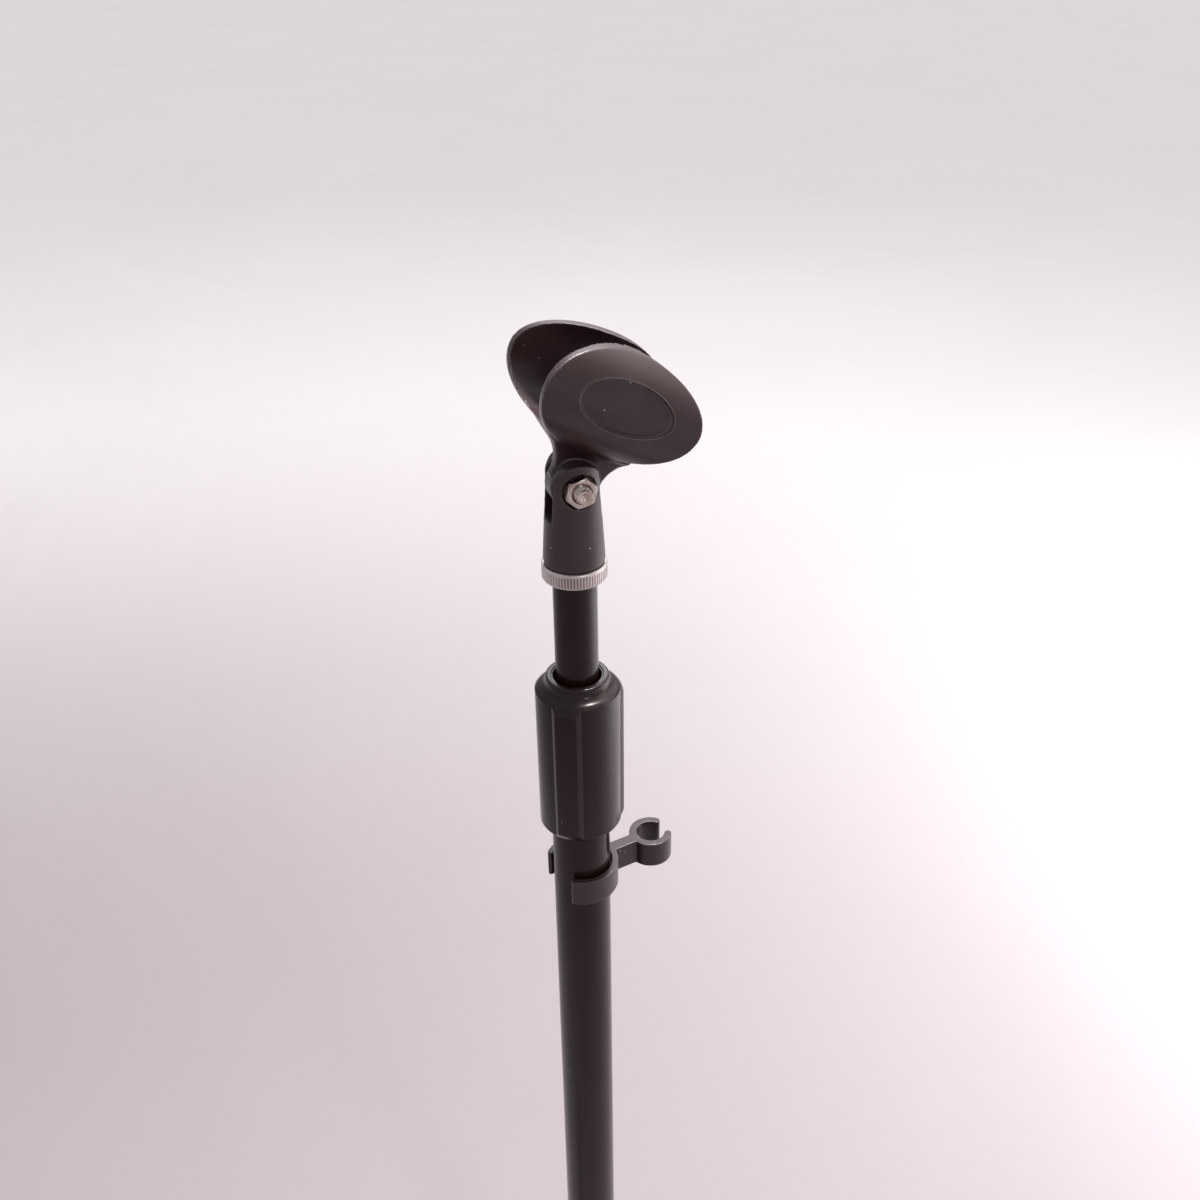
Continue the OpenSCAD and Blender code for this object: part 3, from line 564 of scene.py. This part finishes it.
def pull_grooves(piece, height, factor, spread):
    """Scales the groove points of the newest ring in or out, and leaves the top face selected."""
    bpy.ops.object.mode_set(mode="OBJECT")
    step = 2 * math.pi / (groove_count * per_groove)

    def on_ring(point):
        return abs(point.z - height) < 0.001

    def in_groove(point):
        index = round(math.atan2(point.y, point.x) / step) % per_groove
        return on_ring(point) and min(index, per_groove - index) <= spread

    choose(piece, in_groove)
    bpy.ops.object.mode_set(mode="EDIT")
    bpy.ops.mesh.select_mode(type="VERT")
    bpy.ops.transform.resize(value=(factor, factor, 1), center_override=(0, 0, height * MM))
    bpy.ops.object.mode_set(mode="OBJECT")
    choose(piece, on_ring)
    bpy.ops.object.mode_set(mode="EDIT")
    bpy.ops.mesh.select_mode(type="FACE")


def lift(radius_from, radius_to, height_from, height_to):
    """Extrudes the selected top face to a new height and radius."""
    bpy.ops.mesh.extrude_region_move(TRANSFORM_OT_translate={"value": (0, 0, (height_to - height_from) * MM)})
    growth = radius_to / radius_from
    bpy.ops.transform.resize(value=(growth, growth, 1), center_override=(0, 0, height_to * MM))


lift(flange_r - foot_chamfer, flange_r, knurl_foot, groove_foot)
pull_grooves(insert, groove_foot, groove_flank, 1)
pull_grooves(insert, groove_foot, groove_floor, 0)
lift(flange_r, flange_r, groove_foot, 582.9)
lift(flange_r, flange_r, 582.9, groove_top)
pull_grooves(insert, groove_top, 1 / groove_flank, 1)
pull_grooves(insert, groove_top, 1 / groove_floor, 0)
lip = [(flange_r, groove_top), (flange_r, 583.8), (11.45, 584.1), (11.1, lip_top), (hub_r, lip_top),
       (hub_r, hub_top)]
for (r0, z0), (r1, z1) in zip(lip, lip[1:]):
    lift(r0, r1, z0, z1)
bpy.ops.mesh.select_all(action="SELECT")
bpy.ops.mesh.normals_make_consistent(inside=False)
bpy.ops.object.mode_set(mode="OBJECT")
combine(insert, turned("thread_bore", [(7.95, 577), (7.95, 598)], segments=96), "DIFFERENCE")
nickel = bare_metal("dull nickel", (0.62, 0.585, 0.575), 0.36, stain=(0.42, 0.34, 0.31), stained=0.35)
place(insert, "swivel", "thread_insert", "nickel", nickel, angle=24)

# ---------------------------------------------------------------- sleeve
# The sleeve is moulded round the insert in the same satin black plastic as the clip: a slim cone that ends in
# a fork with two rounded ears. Round seats in the ears hold the nut and the bolt's head.
pivot_z, ear_r, fork_half, bolt_hole_r = 614.3, 9.3, 4, 3.3
seat_r, nut_seat = 6.2, 6.6


def rod(radius, start, stop, segments=128, x=0.0, z=0.0, turn=90, axis="X"):
    """A round bar laid along -Y, or along another axis, from one distance to the other."""
    bar = turned("bar", [(radius, start), (radius, stop)], segments=segments)
    return shifted(bar, x=x, z=z, turn=turn, axis=axis)


sleeve = turned("sleeve_moulded", [(10.7, lip_top), (11, 585.8), (ear_r, pivot_z), (ear_r, pivot_z + 12)])
# The fork's top is cut round, by a block that has the ears' round hollowed out of it
above = block((-20, -20, pivot_z - 0.02), (20, 20, pivot_z + 20))
combine(above, rod(ear_r + 0.01, -30, 30, z=pivot_z), "DIFFERENCE")
combine(sleeve, above, "DIFFERENCE")
combine(sleeve, block((-20, -fork_half, pivot_z - 12.5), (20, fork_half, pivot_z + 20)), "DIFFERENCE")
combine(sleeve, turned("hub_bore", [(9.25, 583), (9.25, 596.4)], segments=128), "DIFFERENCE")
combine(sleeve, rod(bolt_hole_r, -20, 20, segments=64, z=pivot_z), "DIFFERENCE")
combine(sleeve, rod(seat_r, nut_seat, 20, segments=96, z=pivot_z), "DIFFERENCE")
combine(sleeve, rod(seat_r, -20, -nut_seat, segments=96, z=pivot_z), "DIFFERENCE")
melt(sleeve, 0.3, 5)
place(sleeve, "swivel", "clip_sleeve", "clip_plastic", clip_finish, angle=60)

# ---------------------------------------------------------------- pivot bolt and nut
# A nickel-plated M6 bolt goes through the fork and the clip's tongue, and a hexagon nut clamps them.
# The bolt's turned end and its last threads stand out of the nut.
bolt_metal = bare_metal("bright nickel", (0.52, 0.46, 0.43), 0.27, stain=(0.24, 0.13, 0.09), stained=0.55)
thread_turns, thread_pitch, thread_root, thread_crest = 6, 0.9, 2.62, 2.98
thread = []
for count in range(thread_turns):
    foot = 7.4 + count * thread_pitch
    thread += [(thread_root, foot), (thread_crest, foot + 0.36), (thread_crest, foot + 0.50),
               (thread_root, foot + 0.86)]
bolt_head = [(4.3, -10.0), (4.9, -9.6), (5.3, -8.6), (5.4, -7.6), (5.3, -nut_seat), (3.0, -nut_seat)]
bolt_end = [(thread_root, 12.85), (2.45, 13.3), (1.5, 13.25), (1.1, 12.9), (0.3, 12.6)]
bolt = turned("pivot_bolt_threaded", bolt_head + [(3.0, 6.9), (thread_root, 7.3)] + thread + bolt_end,
              segments=96)
combine(bolt, block((-7, -0.7, -12), (7, 0.7, -8.5)), "DIFFERENCE")
shifted(bolt, z=pivot_z, turn=90, axis="X")
place(bolt, "swivel", "pivot_bolt", "bolt_steel", bolt_metal)

across_flats, nut_face = 10, 10.6
nut_corner = across_flats / 2 / math.cos(math.pi / 6)
nut = turned("pivot_nut_turned", [(nut_corner, nut_seat), (nut_corner, nut_face)], segments=6)
shifted(nut, turn=-15)
combine(nut, turned("corner_chamfer", [(4.9, nut_seat), (6.2, nut_seat + 0.8), (6.2, nut_face - 0.8),
                                       (4.9, nut_face)], segments=96), "INTERSECT")
combine(nut, turned("nut_thread", [(3.9, nut_seat - 1), (3.9, nut_seat), (3.02, nut_seat + 0.7),
                                   (3.02, nut_face - 0.7), (3.7, nut_face), (3.7, nut_face + 1)],
                    segments=96), "DIFFERENCE")
soften(nut, 0.12, 2, 20)
shifted(nut, z=pivot_z, turn=90, axis="X")
place(nut, "swivel", "pivot_nut", "bolt_steel", bolt_metal)

# ---------------------------------------------------------------- microphone clip
# One moulding in satin black plastic: a split trough between two oval flaps that spring open, each with a
# shallow oval finger recess, on a web with a round tongue that the bolt clamps in the fork. It tilts to +X.
clip_tilt, axis_b, trough_in, trough_out, trough_floor = 27.5, 33, 17.7, 20.8, 17.4
flap_half, flap_up, flap_down, flap_back = 28.8, 17.1, 20.7, -3.9
recess_half_length, recess_half_height, recess_depth = 17.6, 10.0, 1.0
web_half, front_cut_x, back_cut_x, cut_z = 1.9, 20.4, -21.4, 2
tongue_r, tongue_half = 8.8, 3.7


def oval_bar(half_length, up, down, half_width, x, z):
    """A bar along Y whose section is a half oval above and another one below."""
    bar = rod(1, -half_width, half_width, segments=256)
    choose(bar, lambda point: point.z < -0.0001)
    bpy.ops.object.mode_set(mode="EDIT")
    bpy.ops.mesh.select_mode(type="VERT")
    bpy.ops.transform.resize(value=(1, 1, down / up), center_override=(0, 0, 0))
    bpy.ops.mesh.select_all(action="SELECT")
    bpy.ops.transform.resize(value=(half_length, 1, up), center_override=(0, 0, 0))
    bpy.ops.object.mode_set(mode="OBJECT")
    return shifted(bar, x=x, z=z)


clip = rod(trough_out, -40, 40, segments=256, z=axis_b, turn=90, axis="Y")
clip.name = clip.data.name = "microphone_clip"
combine(clip, oval_bar(flap_half, flap_up, flap_down, 30, flap_back, axis_b), "INTERSECT")
hollow = rod(trough_in, -50, 50, segments=256, z=axis_b, turn=90, axis="Y")
combine(hollow, block((-60, -30, 0), (60, 30, trough_floor)), "DIFFERENCE")
combine(clip, hollow, "DIFFERENCE")
recess = []
for turn in (90, -90):
    dent = shifted(turned("dent", [(0.83, 17.8), (1.18, 24)], segments=160), turn=turn, axis="X")
    bpy.ops.object.mode_set(mode="EDIT")
    bpy.ops.mesh.select_all(action="SELECT")
    bpy.ops.transform.resize(value=(recess_half_length, 1, recess_half_height), center_override=(0, 0, 0))
    bpy.ops.object.mode_set(mode="OBJECT")
    shifted(dent, x=flap_back + 0.4, z=axis_b + 0.8)
    wall_left = rod(trough_out - recess_depth, -40, 40, segments=256, z=axis_b, turn=90, axis="Y")
    combine(dent, wall_left, "DIFFERENCE")
    recess.append(dent)

web = block((-22.4, -web_half, 0), (19.3, web_half, 17.2))
fillet = block((-22.4, -6.13, 7.4), (13.0, 6.13, 15.5))
for side in (-1, 1):
    hollow_side = shifted(rod(6, -50, 50, segments=96, turn=90, axis="Y"), y=side * 7.9, z=7.39)
    combine(fillet, hollow_side, "DIFFERENCE")
combine(fillet, rod(12, -40, 40, x=front_cut_x, z=cut_z), "DIFFERENCE")
combine(web, rod(11, -40, 40, x=front_cut_x, z=cut_z), "DIFFERENCE")
combine(web, shifted(block((0, -30, -20), (40, 30, 0)), x=15.8, z=12.35, turn=-38, axis="Y"), "DIFFERENCE")
combine(web, fillet, "UNION")
combine(web, rod(12, -40, 40, x=back_cut_x, z=cut_z), "DIFFERENCE")
combine(web, shifted(block((-40, -30, -20), (0, 30, 0)), x=-14.5, z=11.8, turn=35, axis="Y"), "DIFFERENCE")
combine(clip, web, "UNION")
combine(clip, rod(tongue_r, -tongue_half, tongue_half), "UNION")
combine(clip, rod(bolt_hole_r, -20, 20, segments=64), "DIFFERENCE")
melt(clip, 0.42, 5)
for dent in recess:
    combine(clip, dent, "DIFFERENCE")
shifted(clip, z=pivot_z, turn=clip_tilt, axis="Y")
place(clip, "clip", "clip_body", "clip_plastic", clip_finish, angle=30)
